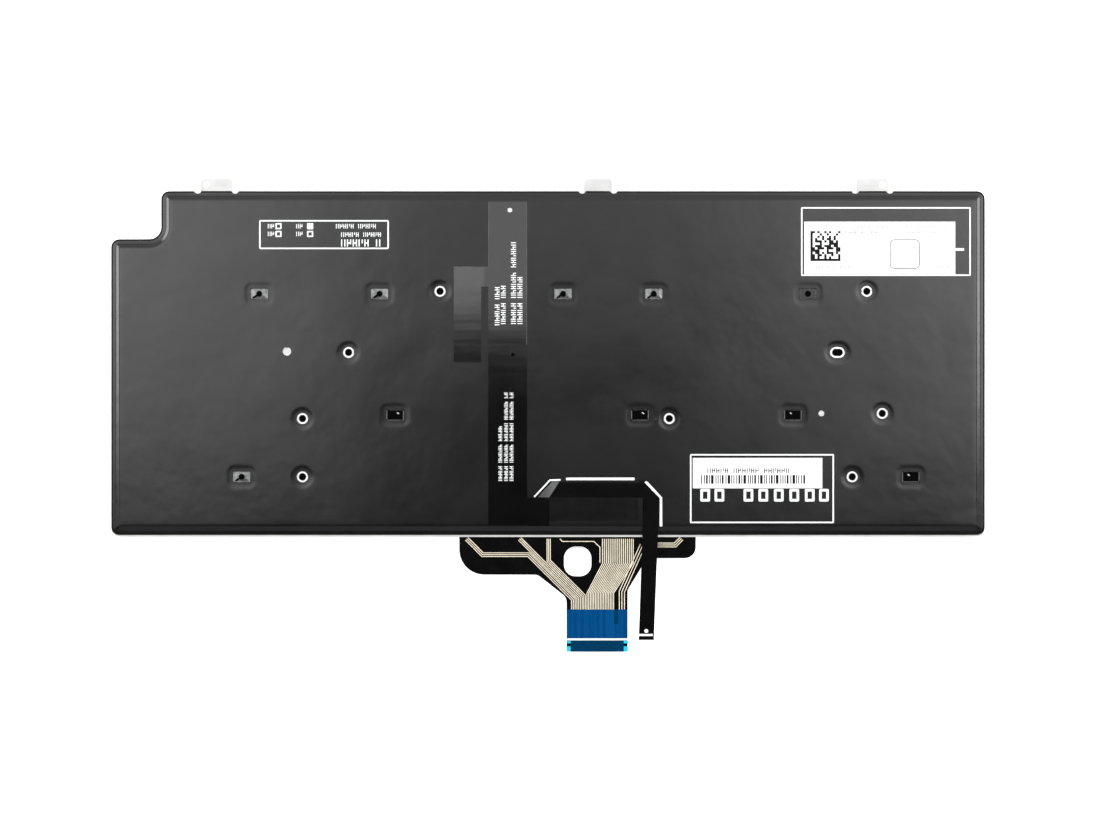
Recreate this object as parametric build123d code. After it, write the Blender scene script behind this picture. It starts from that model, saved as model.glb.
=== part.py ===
# Laptop keyboard module, lying on its keys with its back up. Millimetres.
# X runs along the key rows, +Y points to the function row and +Z to the back.
# The origin is under the middle of the whole part, on the plane of the key tops.

import os
from math import asin, copysign, cos, degrees, radians, sin

from build123d import *

# Key grid
unit = 18.05  # key pitch, along and across the rows
row_units = 15  # length of a row in key pitches
function_row = 13.7  # depth of the function row
function_columns = 16  # fifteen function keys and the corner notch
rear_margin = 0.3  # plate beyond the function row
front_margin = 2.95  # plate beyond the space bar row
key_gap = 3.0  # between neighbouring keycaps
split_gap = 0.9  # between the two keys that share one cell

# Keycaps and what carries them
cap_height = 2.2
cap_top_wall = 0.9
cap_wall = 1.0
cap_draft = 0.3  # skirt beyond the top, each side
cap_corner = 1.1
key_travel = 1.5
stop_clearance = 0.2  # left under the skirt at full travel
link_span = 10.4
link_half_width = 5.6
link_arm = 1.0
link_thickness = 0.7
link_clearance = 0.06
dome_base_radius = 3.2
dome_tip_radius = 1.8
dome_sides = 4
wire_radius = 0.4
wire_sides = 5
wire_clearance = 0.25

# Sheets, from the keys to the back
membrane_thickness = 0.3
plate_thickness = 0.4
guide_thickness = 0.4
film_thickness = 0.15
flex_thickness = 0.15
label_thickness = 0.1
stiffener_thickness = 0.2
sheet_clearance = 0.2  # between edges that lie side by side

# Base plate
corner_radius = 2.5
notch_ledge = 1.4  # plate kept beside the function row's last column
notch_overlap = 0.9  # notch runs this far into the gap below the row
notch_radius = 3.7
tabs = [(-102.7, 10.0, -1), (15.5, 8.8, 0), (100.5, 10.0, 1)]  # middle, width, side of its hole
tab_reach = 3.9
tab_corner = 0.8
tab_hole_radius = 0.95
tab_hole_inset = 2.0  # from the end of the tab
tab_hole_side = 1.8  # from the side of the tab
relief = 0.6  # corner cuts beside the tabs
screw_hole_radius = 1.15
slot_length = 3.4
pass_radius = 1.3
small_pass_radius = 0.9
window_length = 5.2
window_width = 3.2
pressing_depth = 0.28
pressing_floor = 1.5
eyelet_radius = 0.95

# Holes and windows, from the row line that they are near
upper_screw_offset = 1.0
lower_screw_offset = -2.35
peg_offset = 0.1
side_peg_offset = -0.75
pass_offset = 0.4
upper_window_offset = 0.2
middle_window_offset = -1.25

# Back film
film_front_step = 0.6  # bare plate along the front edge
film_seat = 0.5  # flat rim of the film on the plate
film_rim = 2.4  # width of the sloping rim
dimple_flare = 1.4  # slope around a screw hole
dimple_ring = 0.7  # bare plate around a screw hole
dimple_sides = 12  # a multiple of four, so that the slot can be drawn out
hole_sides = 6  # of the small holes that nothing fits in
window_flare = 1.2  # slope around a window

# Light strip, its wing and its folded ribbon
strip_left = -18.5
strip_width = 12.0
strip_rear_inset = 3.3
strip_front_inset = 3.7
wing_width = 8.5
wing_length = 29.7
wing_rear_inset = 23.4
wing_slit = 2.2
wing_bridge = 6.2
root_length = 6.6
root_depth = 8.5
ribbon_width = 4.7
ribbon_fold_inset = 2.4  # first fold, from the strip's side
ribbon_span = 38.6  # between the outer sides of the two folds
ribbon_reach = 31.9  # beyond the front edge
ribbon_drift = 1.7  # sideways over that reach
strip_hole = (6.7, 5.9)  # from the strip's left side and the rear edge
strip_hole_radius = 0.8
lamp_length = 3.0
lamp_width = 0.9
lamp_height = 0.45
lamp_insets = (18.0, 50.0, 84.0)  # from the rear edge
tape_depth = 6.9

# Switch sheet and its tail, beyond the front edge
sheet_inset = 0.6
tail_left = -27.5
tail_right = 45.8
tail_shoulder = 11.7
tail_wing = 6.6
tail_reach = 35.6
neck_left = 5.76
neck_width = 18.9
neck_root = 18.8
neck_slope = 9.0
neck_right_root = 16.5
neck_right_slope = 6.0
tail_shoulder_radius = 7.7
tail_wing_radius = 3.4
tail_bend_radius = 3.0
boss_x = 9.2
boss_reach = 7.6
boss_width = 8.5
boss_depth = 9.2
boss_corner = 3.6
stiffener_depth = 8.9
contact_depth = 4.2  # bare contacts beyond the stiffener

# Labels: size, and inset from the right side and the rear or front edge
upper_label = (46.8, 16.2)
upper_label_inset = (9.2, 9.5)
lower_label = (40.1, 9.4)
lower_label_inset = (50.4, 15.1)

# Levels
rim_z = cap_height
sheet_z = rim_z + key_travel + stop_clearance
plate_z = sheet_z + membrane_thickness
guide_z = plate_z + plate_thickness
film_z = guide_z + guide_thickness
back_z = film_z + film_thickness
fold_z = back_z + flex_thickness


def singles(*names):
    # Keys one pitch wide.
    return [(name, 1) for name in names]


# Key layout, as it is typed on: names and widths in key pitches
function_names = ["escape", *[f"f{n}" for n in range(1, 13)], "insert", "delete"]
typing_rows = [
    [*singles("backquote", *"1234567890", "minus", "equals"), ("backspace", 2)],
    [("tab", 1.5), *singles(*"qwertyuiop", "left_bracket", "right_bracket"), ("backslash", 1.5)],
    [("caps_lock", 1.75), *singles(*"asdfghjkl", "semicolon", "quote"), ("enter", 2.25)],
    [("left_shift", 2.25), *singles(*"zxcvbnm", "comma", "period", "slash"), ("right_shift", 2.75)],
    [
        ("left_control", 1.25), *singles("fn", "system", "left_alt"), ("space_bar", 5),
        *singles("right_alt"), ("right_control", 1.25),
    ],
]
arrow_pairs = [("page_up", "left"), ("up", "down"), ("page_down", "right")]
inner_keys = [name for row in typing_rows[:4] for name, width in row[1:] if width == 1]
wired_keys = ["backspace", "enter", "left_shift", "right_shift"]
link_shifts = {name: [0] for name in inner_keys}  # each pair of links, from its key's middle
link_shifts["space_bar"] = [-unit, unit]

# Board
key_rows = len(typing_rows)
board_width = row_units * unit
board_depth = rear_margin + function_row + key_rows * unit + front_margin
right_x = board_width / 2
rear_y = board_depth / 2
front_y = -board_depth / 2
function_pitch = board_width / function_columns
notch_width = function_pitch - notch_ledge
notch_depth = rear_margin + function_row + notch_overlap
board_y = (tail_reach - tab_reach) / 2  # puts the origin under the middle
dimple_foot = screw_hole_radius + dimple_ring
strip_right = strip_left + strip_width
fold_left = strip_right + ribbon_fold_inset
fold_right = fold_left + ribbon_span
root_y = front_y + strip_front_inset + root_depth


def row_line(number):
    # Line between key rows, counted from the one below the function row.
    return rear_y - rear_margin - function_row - number * unit


def spot(column, line, offset):
    # Place on the back: key pitches from the left side, and an offset from a row line.
    return (column * unit - right_x, row_line(line) + offset)


# Places on the back, between the key rows
screw_spots = [spot(column, 1, upper_screw_offset) for column in (5.646, 12.974)]
screw_spots += [spot(column, 4, lower_screw_offset) for column in (3.284, 12.724)]
peg_spots = [spot(column, 3, lower_screw_offset) for column in (3.284, 9.583)]
peg_spots += [spot(4.076, 2, peg_offset), spot(13.240, 3, side_peg_offset)]
slot_spot = spot(12.470, 2, peg_offset)
window_spots = [spot(column, 1, upper_window_offset) for column in (2.542, 4.608, 7.758, 9.317, 11.963)]
window_spots += [spot(column, 3, middle_window_offset) for column in (4.874, 9.079, 11.705)]
window_spots += [spot(column, 4, lower_screw_offset) for column in (2.240, 13.730)]
pass_holes = [
    (spot(3.018, 2, pass_offset), pass_radius),
    (spot(12.193, 3, side_peg_offset), small_pass_radius),
]
lamp_spots = [(strip_left + strip_width / 2, rear_y - inset) for inset in lamp_insets]
strip_hole_spot = (strip_left + strip_hole[0], rear_y - strip_hole[1])


def sheet(outline, low, thickness):
    # Flat sheet of an outline, upwards from a level.
    return Pos(0, 0, low) * extrude(outline, thickness, dir=(0, 0, 1))


def outline_of(points):
    return make_face(Polyline(*points, close=True))


def eased(points, sizes, ease=fillet):
    # Closed outline with its corners rounded, or cut by chamfer, by their own sizes. A size of 0 is sharp.
    face = outline_of(points)
    for point, size in zip(points, sizes):
        if size:
            face = ease(face.vertices().sort_by_distance(point)[0], size)
    return face


def ring(radius, count):
    # Corners of a regular polygon with a flat side towards +X.
    turns = [radians(360 * (n + 0.5) / count) for n in range(count)]
    return [(radius * cos(turn), radius * sin(turn)) for turn in turns]


def stretched(points):
    # Outline drawn out along X by the length of the slot.
    reach = slot_length / 2 - screw_hole_radius
    return [(x + copysign(reach, x), y) for x, y in points]


def corners(length, width):
    # Corners of a rectangle, anticlockwise.
    x = length / 2
    y = width / 2
    return [(x, y), (-x, y), (-x, -y), (x, -y)]


def octagon(length, width, corner):
    # Corners of a rectangle whose corners are cut, anticlockwise.
    x = length / 2
    y = width / 2
    return [
        (x, y - corner), (x - corner, y), (corner - x, y), (-x, y - corner),
        (-x, corner - y), (corner - x, -y), (x - corner, -y), (x, corner - y),
    ]


def frustum(low_points, low, high_points, high):
    # Flat-sided block between two like outlines at two levels.
    bottom = [(*point, low) for point in low_points]
    top = [(*point, high) for point in high_points]
    rings = [bottom, top]
    for n in range(len(bottom)):
        rings.append([bottom[n - 1], bottom[n], top[n], top[n - 1]])
    return Solid(Shell([Face(Wire.make_polygon(ring)) for ring in rings]))


def board_outline(side, front, hidden=False):
    # Board with its notch, drawn in all round and, by another amount, along the front.
    # A hidden sheet has plain cut corners.
    left = -right_x + side
    right = right_x - side
    rear = rear_y - side
    low = front_y + front
    notch_x = -right_x + notch_width + side
    notch_y = rear_y - notch_depth - side
    points = [(left, low), (right, low), (right, rear), (notch_x, rear), (notch_x, notch_y), (left, notch_y)]
    if hidden:
        return eased(points, [corner_radius] * 4 + [0, corner_radius], chamfer)
    return eased(points, [corner_radius] * 4 + [notch_radius, corner_radius])


def key_cells():
    # Each key's middle and cell. Seen from the back, the rows run from right to left.
    cells = {}
    function_y = row_line(0) + function_row / 2
    for n, name in enumerate(function_names):
        cells[name] = (right_x - (n + 0.5) * function_pitch, function_y, function_pitch, function_row)
    for r, row in enumerate(typing_rows):
        start = 0
        for name, width in row:
            cells[name] = (right_x - (start + width / 2) * unit, row_line(r) - unit / 2, width * unit, unit)
            start += width
    pitch = (row_units - start) / len(arrow_pairs) * unit
    half = (unit + key_gap - split_gap) / 2
    for n, (upper, lower) in enumerate(arrow_pairs):
        x = right_x - start * unit - (n + 0.5) * pitch
        cells[upper] = (x, row_line(key_rows - 1) - half / 2, pitch, half)
        cells[lower] = (x, row_line(key_rows) + half / 2, pitch, half)
    return cells


def keycap(width, depth):
    # Low keycap on its top, hollow from the skirt.
    skirt = octagon(width - key_gap, depth - key_gap, cap_corner)
    crown = octagon(width - key_gap - 2 * cap_draft, depth - key_gap - 2 * cap_draft, cap_corner)
    room = Rectangle(width - key_gap - 2 * cap_wall, depth - key_gap - 2 * cap_wall)
    return frustum(crown, 0, skirt, rim_z) - sheet(room, cap_top_wall, cap_height)


def link_pose(depth):
    # Length and lean of a key's links, from the switch sheet to the cap.
    length = min(link_span, depth - key_gap - 2 * cap_wall - 2 * sheet_clearance)
    rise = sheet_z - cap_top_wall - link_thickness - 2 * link_clearance
    return length, degrees(asin(rise / length))


def link_pair(depth):
    # Two crossed forks with tapered arms, one inside the other.
    length, lean = link_pose(depth)
    middle = Pos(0, 0, (cap_top_wall + sheet_z) / 2)
    forks = []
    for half_width, side in ((link_half_width, 1), (link_half_width - link_arm - link_clearance, -1)):
        inner = half_width - link_arm
        base = -side * length / 2
        web = base + side * link_arm
        points = [(-half_width, base), (half_width, base), (half_width, -base)]
        points += [(inner, web), (-inner, web), (-half_width, -base)]
        fork = extrude(outline_of(points), link_thickness / 2, both=True)
        forks.append(middle * Rot(-side * lean, 0, 0) * fork)
    return forks


def dome(depth):
    # Rubber dome between the switch sheet and the cap.
    length, lean = link_pose(depth)
    room = (length / 2 - link_arm) * cos(radians(lean)) - sheet_clearance
    base = min(dome_base_radius, room)
    tip = dome_tip_radius * base / dome_base_radius
    return frustum(ring(tip, dome_sides), cap_top_wall, ring(base, dome_sides), sheet_z)


def stabiliser(width, depth):
    # Bent wire that keeps a wide cap level: a bar under the cap and two legs to the sheet.
    half = width / 2 - key_gap / 2 - cap_wall - sheet_clearance - wire_radius
    reach = depth / 2 - key_gap / 2 - cap_wall - sheet_clearance - wire_radius
    bar = (-reach, cap_top_wall + wire_clearance + wire_radius)
    foot = (reach, sheet_z - wire_clearance - wire_radius)
    path = Polyline((-half, *foot), (-half, *bar), (half, *bar), (half, *foot))
    section = Plane(path @ 0, z_dir=path % 0) * RegularPolygon(wire_radius, wire_sides)
    return sweep(section, path, transition=Transition.RIGHT)


def pass_cuts():
    # Holes right through the sheets.
    return [Pos(*place) * outline_of(ring(radius, hole_sides)) for place, radius in pass_holes]


def base_plate():
    # Stamped plate with its rear tabs, holes and pressed eyelets.
    outline = board_outline(0, 0)
    for middle, width, hole_side in tabs:
        tab = Pos(middle, rear_y + tab_reach / 2) * Rectangle(width, tab_reach)
        outline += chamfer(tab.vertices().group_by(Axis.Y)[-1], tab_corner)
        for side in (-1, 1):
            outline -= Pos(middle + side * (width / 2 + relief), rear_y) * Rectangle(2 * relief, 2 * relief)
        if hole_side:
            hole_x = middle + hole_side * (width / 2 - tab_hole_side)
            hole = outline_of(ring(tab_hole_radius, hole_sides))
            outline -= Pos(hole_x, rear_y + tab_reach - tab_hole_inset) * hole
    for place in screw_spots:
        outline -= Pos(*place) * Circle(screw_hole_radius)
    for place in peg_spots:
        outline -= Pos(*place) * outline_of(ring(screw_hole_radius, dimple_sides))
    outline -= Pos(*slot_spot) * outline_of(stretched(ring(screw_hole_radius, dimple_sides)))
    for hole in pass_cuts():
        outline -= hole
    for place in window_spots:
        outline -= Pos(*place) * outline_of(ring(eyelet_radius, hole_sides))
    plate = sheet(outline, plate_z, plate_thickness)
    return plate - [Pos(*place, guide_z) * pressing() for place in window_spots]


def pressing():
    # Four-sided pit in the plate around an eyelet.
    low_x = (window_length - pressing_floor) / 2
    low_y = (window_width - pressing_floor) / 2
    pit = Wedge(
        window_length, pressing_depth, window_width,
        low_x, low_y, low_x + pressing_floor, low_y + pressing_floor,
    )
    return Pos(0, 0, -pressing_depth / 2) * Rot(-90, 0, 0) * pit


def film_block(outline, low, slope):
    # Block of an outline whose upper edge slopes off, up to the height of the guide above low.
    block = sheet(outline, low - film_thickness, guide_thickness + film_thickness)
    top = block.faces().sort_by(Axis.Z)[-1]
    return chamfer(top.edges(), slope, guide_thickness, reference=top)


def dimple_plugs(top):
    # Blocks that draw the film down from a level: round at the screws, square at the windows.
    low = top - guide_thickness
    mouth = dimple_foot + dimple_flare
    narrow = ring(dimple_foot, dimple_sides)
    wide = ring(mouth, dimple_sides)
    plugs = [Pos(*place) * frustum(narrow, low, wide, top) for place in screw_spots + peg_spots]
    plugs.append(Pos(*slot_spot) * frustum(stretched(narrow), low, stretched(wide), top))
    foot = corners(window_length, window_width)
    rim = corners(window_length + 2 * window_flare, window_width + 2 * window_flare)
    plugs += [Pos(*place) * frustum(foot, low, rim, top) for place in window_spots]
    return plugs


def back_film():
    # Thin film with a sloping rim, drawn down to the plate around the holes.
    rim = board_outline(0, film_front_step)
    seat = board_outline(film_seat, film_front_step + film_seat, hidden=True)
    block = film_block(rim, guide_z + film_thickness, film_rim)
    room = film_block(seat, guide_z, film_rim - film_seat)
    for plug in dimple_plugs(film_z):
        room -= plug
    cuts = []
    for plug in dimple_plugs(back_z):
        foot = plug.faces().sort_by(Axis.Z)[0]
        cuts += [plug, extrude(foot, film_thickness, dir=(0, 0, -1))]
    for hole in [*pass_cuts(), Pos(*strip_hole_spot) * outline_of(ring(strip_hole_radius, hole_sides))]:
        cuts.append(sheet(hole, guide_z, back_z - guide_z))
    return block - room - cuts - lamp_slots()


def lamp_slots():
    # Room for the lamps in the guide and the film.
    slot = Rectangle(lamp_length + 2 * sheet_clearance, lamp_width + 2 * sheet_clearance)
    return [sheet(Pos(*place) * slot, guide_z, back_z - guide_z) for place in lamp_spots]


def light_guide():
    # Clear sheet that spreads the light, cut away around the film's dimples.
    side = film_rim + sheet_clearance
    outline = board_outline(side, film_front_step + side, hidden=True)
    round_room = 2 * (dimple_foot + dimple_flare + sheet_clearance)
    slot_room = round_room + slot_length - 2 * screw_hole_radius
    window_room = 2 * (window_flare + sheet_clearance)
    for place in screw_spots + peg_spots:
        outline -= Pos(*place) * Rectangle(round_room, round_room)
    outline -= Pos(*slot_spot) * Rectangle(slot_room, round_room)
    for place in window_spots:
        outline -= Pos(*place) * Rectangle(window_length + window_room, window_width + window_room)
    for hole in pass_cuts():
        outline -= hole
    return sheet(outline, guide_z, guide_thickness) - lamp_slots()


def light_strip():
    # Flat circuit along the back, with a wing at its left and a ribbon folded twice at its right.
    low = front_y + strip_front_inset
    high = rear_y - strip_rear_inset
    wing_high = rear_y - wing_rear_inset
    wing_right = strip_left - wing_slit
    wing = Rectangle(wing_width, wing_length, align=Align.MIN)
    outline = Pos(strip_left, low) * Rectangle(strip_width, high - low, align=Align.MIN)
    outline += Pos(wing_right - wing_width, wing_high - wing_length) * wing
    outline += Pos(wing_right, wing_high - wing_bridge) * Rectangle(wing_slit, wing_bridge, align=Align.MIN)
    outline += Pos(strip_right, low) * Rectangle(root_length, root_depth, align=Align.MIN)
    outline += Polygon(
        (fold_left, root_y), (fold_left + ribbon_width, root_y),
        (fold_left + ribbon_width, root_y + ribbon_width),
        align=None,
    )
    outline -= Pos(*strip_hole_spot) * outline_of(ring(strip_hole_radius, hole_sides))
    end_y = front_y - ribbon_reach
    outline += Polygon(
        (fold_right - ribbon_width, root_y + ribbon_width), (fold_right, root_y),
        (fold_right - ribbon_drift, end_y), (fold_right - ribbon_drift - ribbon_width, end_y),
        align=None,
    )
    run = Polygon(
        (fold_left, root_y), (fold_left + ribbon_width, root_y + ribbon_width),
        (fold_right - ribbon_width, root_y + ribbon_width), (fold_right, root_y),
        align=None,
    )
    return sheet(outline, back_z, flex_thickness) + sheet(run, fold_z, flex_thickness)


def lamps():
    chip = Box(lamp_length, lamp_width, lamp_height, align=(Align.CENTER, Align.CENTER, Align.MAX))
    return [Pos(*place, back_z) * chip for place in lamp_spots]


def switch_sheet():
    # Contact sheet under the domes, with the tail that carries its conductors out.
    inside = front_y + sheet_inset + corner_radius
    neck_right = neck_left + neck_width
    points = [
        (tail_left, inside), (tail_left, front_y - tail_shoulder),
        (neck_left - neck_slope, front_y - tail_shoulder), (neck_left, front_y - neck_root),
        (neck_left, front_y - tail_reach), (neck_right, front_y - tail_reach),
        (neck_right, front_y - neck_right_root), (neck_right + neck_right_slope, front_y - tail_wing),
        (tail_right, front_y - tail_wing), (tail_right, inside),
    ]
    bend = tail_bend_radius
    tail = eased(points, [0, tail_shoulder_radius, bend, bend, 0, 0, bend, bend, tail_wing_radius, 0])
    outline = board_outline(sheet_inset, sheet_inset, hidden=True) + tail
    outline -= Pos(boss_x, front_y - boss_reach) * RectangleRounded(boss_width, boss_depth, boss_corner)
    for hole in pass_cuts():
        outline -= hole
    return sheet(outline, sheet_z, membrane_thickness)


def tail_stiffener():
    # Stiff strip on the tail, behind its contacts.
    low = front_y - tail_reach + contact_depth
    outline = Pos(neck_left, low) * Rectangle(neck_width, stiffener_depth, align=Align.MIN)
    return sheet(outline, plate_z, stiffener_thickness)


def fixing_tape():
    # Tape beside the ribbon, between the strip and the tail of the ribbon.
    left = strip_right + root_length + sheet_clearance
    right = fold_right - ribbon_width - ribbon_drift - sheet_clearance
    high = root_y - sheet_clearance
    outline = Pos(left, high - tape_depth) * Rectangle(right - left, tape_depth, align=Align.MIN)
    return sheet(outline, back_z, label_thickness)


def blank_labels():
    upper = Pos(right_x - upper_label_inset[0], rear_y - upper_label_inset[1])
    upper_face = upper * Rectangle(*upper_label, align=Align.MAX)
    lower = Pos(right_x - lower_label_inset[0], front_y + lower_label_inset[1])
    lower_face = lower * Rectangle(*lower_label, align=(Align.MAX, Align.MIN))
    return [sheet(face, back_z, label_thickness) for face in (upper_face, lower_face)]


def build():
    # Every node of the part, by name.
    cells = key_cells()
    nodes = {
        "back_film": [back_film()],
        "light_guide": [light_guide()],
        "base_plate": [base_plate()],
        "switch_sheet": [switch_sheet()],
        "tail_stiffener": [tail_stiffener()],
        "light_strip": [light_strip()],
        "lamps": lamps(),
        "fixing_tape": [fixing_tape()],
        "blank_labels": blank_labels(),
        "border_keycaps": [],
        "rubber_domes": [],
        "scissor_links": [],
        "stabiliser_wires": [],
    }
    for name, (x, y, width, depth) in cells.items():
        place = Pos(x, y)
        cap = place * keycap(width, depth)
        if name in inner_keys:
            nodes[f"key_{name}"] = [cap]
        elif name == "space_bar":
            nodes[name] = [cap]
            nodes["space_bar_wire"] = [place * stabiliser(width, depth)]
        else:
            nodes["border_keycaps"].append(cap)
        if name in wired_keys:
            nodes["stabiliser_wires"].append(place * stabiliser(width, depth))
        nodes["rubber_domes"].append(place * dome(depth))
        for shift in link_shifts.get(name, []):
            nodes["scissor_links"] += [Pos(x + shift, y) * fork for fork in link_pair(depth)]
    return nodes


os.makedirs("parts", exist_ok=True)
for node, pieces in build().items():
    solids = [solid for piece in pieces for solid in (Pos(0, board_y, 0) * piece).solids()]
    export_step(solids[0] if len(solids) == 1 else Compound(solids), f"parts/{node}.step")
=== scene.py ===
from math import asin, atan2, cos, pi, radians, sin

import bmesh
import bpy
from mathutils import Matrix, Vector


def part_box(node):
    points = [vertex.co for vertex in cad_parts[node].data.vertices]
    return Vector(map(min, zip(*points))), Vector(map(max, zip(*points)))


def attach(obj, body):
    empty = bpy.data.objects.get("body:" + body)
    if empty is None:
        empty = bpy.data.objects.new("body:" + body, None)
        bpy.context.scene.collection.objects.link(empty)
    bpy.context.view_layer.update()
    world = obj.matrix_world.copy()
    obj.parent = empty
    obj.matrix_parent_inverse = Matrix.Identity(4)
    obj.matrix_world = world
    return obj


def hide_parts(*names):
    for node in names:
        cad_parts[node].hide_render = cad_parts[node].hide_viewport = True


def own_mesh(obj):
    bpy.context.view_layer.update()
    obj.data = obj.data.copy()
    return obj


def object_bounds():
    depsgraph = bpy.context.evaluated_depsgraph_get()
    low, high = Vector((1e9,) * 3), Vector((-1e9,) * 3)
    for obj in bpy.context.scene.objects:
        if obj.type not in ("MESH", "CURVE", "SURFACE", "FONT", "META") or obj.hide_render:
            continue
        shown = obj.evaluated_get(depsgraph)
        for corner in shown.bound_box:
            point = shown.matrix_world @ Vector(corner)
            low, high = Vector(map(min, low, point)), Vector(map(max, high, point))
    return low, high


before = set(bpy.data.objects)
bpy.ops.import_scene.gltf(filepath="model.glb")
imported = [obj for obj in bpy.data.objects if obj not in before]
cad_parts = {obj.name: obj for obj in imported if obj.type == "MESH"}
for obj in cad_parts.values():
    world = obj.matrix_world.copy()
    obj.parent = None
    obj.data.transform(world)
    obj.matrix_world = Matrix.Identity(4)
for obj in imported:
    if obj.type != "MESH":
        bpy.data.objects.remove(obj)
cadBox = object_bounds()
print("frame loaded,", len(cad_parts), "nodes")

mm = 0.001
filmLow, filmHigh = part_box("back_film")
plateLow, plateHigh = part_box("base_plate")
sheetLow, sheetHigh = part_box("switch_sheet")
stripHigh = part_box("light_strip")[1]
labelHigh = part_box("blank_labels")[1]
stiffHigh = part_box("tail_stiffener")[1]
boardY = (filmHigh.y + plateLow.y) / 2  # middle of the board
inkLift = 0.02 * mm


# Helpers for modelling with operators
def at(x, y, level):
    return Vector((x * mm, boardY + y * mm, level))


def beginPiece(name):
    if bpy.context.mode != "OBJECT":
        bpy.ops.object.mode_set(mode="OBJECT")
    bpy.ops.object.select_all(action="DESELECT")
    bpy.ops.mesh.primitive_plane_add(size=1)
    piece = bpy.context.object
    piece.name = name
    piece.data.name = name
    bpy.ops.object.mode_set(mode="EDIT")
    bpy.ops.mesh.select_mode(type="VERT")
    bpy.ops.mesh.delete(type="VERT")
    return piece


def endPiece(piece, material, body="board", smooth=None):
    bpy.ops.object.mode_set(mode="OBJECT")
    piece.data.materials.append(material)
    if smooth:
        bpy.ops.object.shade_smooth_by_angle(angle=radians(smooth))
    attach(piece, body)
    return piece


def applied(piece, kind, **values):
    bpy.ops.object.mode_set(mode="OBJECT")
    bpy.ops.object.modifier_add(type=kind)
    modifier = piece.modifiers[-1]
    for name, value in values.items():
        setattr(modifier, name, value)
    bpy.ops.object.modifier_apply(modifier=modifier.name)


def pick(kind, test):
    bpy.ops.mesh.select_mode(type=kind)
    bpy.ops.mesh.select_all(action="DESELECT")
    mesh = bmesh.from_edit_mesh(bpy.context.object.data)
    found = {"VERT": mesh.verts, "EDGE": mesh.edges, "FACE": mesh.faces}[kind]
    for item in found:
        if not item.hide and test(item):
            item.select_set(True)
    mesh.select_flush_mode()
    bmesh.update_edit_mesh(bpy.context.object.data)


def addPlane(centre, size):
    bpy.ops.mesh.select_mode(type="VERT")
    bpy.ops.mesh.select_all(action="DESELECT")
    bpy.ops.mesh.primitive_plane_add(size=1, location=centre)
    bpy.ops.transform.resize(value=(size[0], size[1], 1), center_override=centre)


def addRounded(centre, size, corner, segments):
    addPlane(centre, size)
    bpy.ops.mesh.bevel(offset=corner, segments=segments, affect="VERTICES")


def addDisc(centre, radius, count=24):
    bpy.ops.mesh.select_mode(type="VERT")
    bpy.ops.mesh.select_all(action="DESELECT")
    bpy.ops.mesh.primitive_circle_add(vertices=count, radius=radius, fill_type="NGON", location=centre)


def outlineOnly():
    bpy.ops.mesh.delete(type="ONLY_FACE")
    bpy.ops.mesh.select_all(action="DESELECT")


def liftUp(height):
    bpy.ops.mesh.extrude_region_move(TRANSFORM_OT_translate={"value": (0, 0, height)})


# Materials
def newMaterial(name, colour, roughness, metallic=0.0):
    material = bpy.data.materials.new(name)
    material.use_nodes = True
    shader = material.node_tree.nodes["Principled BSDF"]
    shader.inputs["Base Color"].default_value = (*colour, 1)
    shader.inputs["Roughness"].default_value = roughness
    shader.inputs["Metallic"].default_value = metallic
    return material


def grain(material, size, detail=4, stretch=(1, 1, 1)):
    tree = material.node_tree  # noise with cells of about that size
    coords = tree.nodes.new("ShaderNodeTexCoord")
    mapping = tree.nodes.new("ShaderNodeMapping")
    mapping.inputs["Scale"].default_value = stretch
    noise = tree.nodes.new("ShaderNodeTexNoise")
    noise.inputs["Scale"].default_value = 1 / size
    noise.inputs["Detail"].default_value = detail
    tree.links.new(coords.outputs["Object"], mapping.inputs["Vector"])
    tree.links.new(mapping.outputs["Vector"], noise.inputs["Vector"])
    return noise.outputs["Fac"]


def ranged(material, source, low, high, start=0.3, stop=0.7):
    node = material.node_tree.nodes.new("ShaderNodeMapRange")
    node.inputs["From Min"].default_value = start
    node.inputs["From Max"].default_value = stop
    node.inputs["To Min"].default_value = low
    node.inputs["To Max"].default_value = high
    material.node_tree.links.new(source, node.inputs["Value"])
    return node.outputs["Result"]


def rough(material, source, low, high):
    shader = material.node_tree.nodes["Principled BSDF"]
    material.node_tree.links.new(ranged(material, source, low, high), shader.inputs["Roughness"])


def tinted(material, source, dark, light, start=0.3, stop=0.7):
    tree = material.node_tree
    mix = tree.nodes.new("ShaderNodeMix")
    mix.data_type = "RGBA"
    mix.inputs["A"].default_value = (*dark, 1)
    mix.inputs["B"].default_value = (*light, 1)
    tree.links.new(ranged(material, source, 0, 1, start, stop), mix.inputs["Factor"])
    tree.links.new(mix.outputs["Result"], tree.nodes["Principled BSDF"].inputs["Base Color"])


def bumped(material, source, height, strength=1.0):
    tree = material.node_tree
    bump = tree.nodes.new("ShaderNodeBump")
    bump.inputs["Distance"].default_value = height
    bump.inputs["Strength"].default_value = strength
    tree.links.new(source, bump.inputs["Height"])
    shader = tree.nodes["Principled BSDF"]
    if shader.inputs["Normal"].is_linked:
        tree.links.new(shader.inputs["Normal"].links[0].from_socket, bump.inputs["Normal"])
    tree.links.new(bump.outputs["Normal"], shader.inputs["Normal"])


def makeFilmBlack():
    material = newMaterial("filmBlack", (0.003, 0.003, 0.003), 0.18)
    cloud = grain(material, 32 * mm)
    rough(material, cloud, 0.16, 0.2)
    tinted(material, grain(material, 9 * mm, 6), (0.002, 0.002, 0.002), (0.0045, 0.0045, 0.0045))
    bumped(material, cloud, 0.7 * mm, 0.3)
    bumped(material, grain(material, 0.35 * mm, 2), 0.004 * mm, 0.3)
    return material


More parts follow.
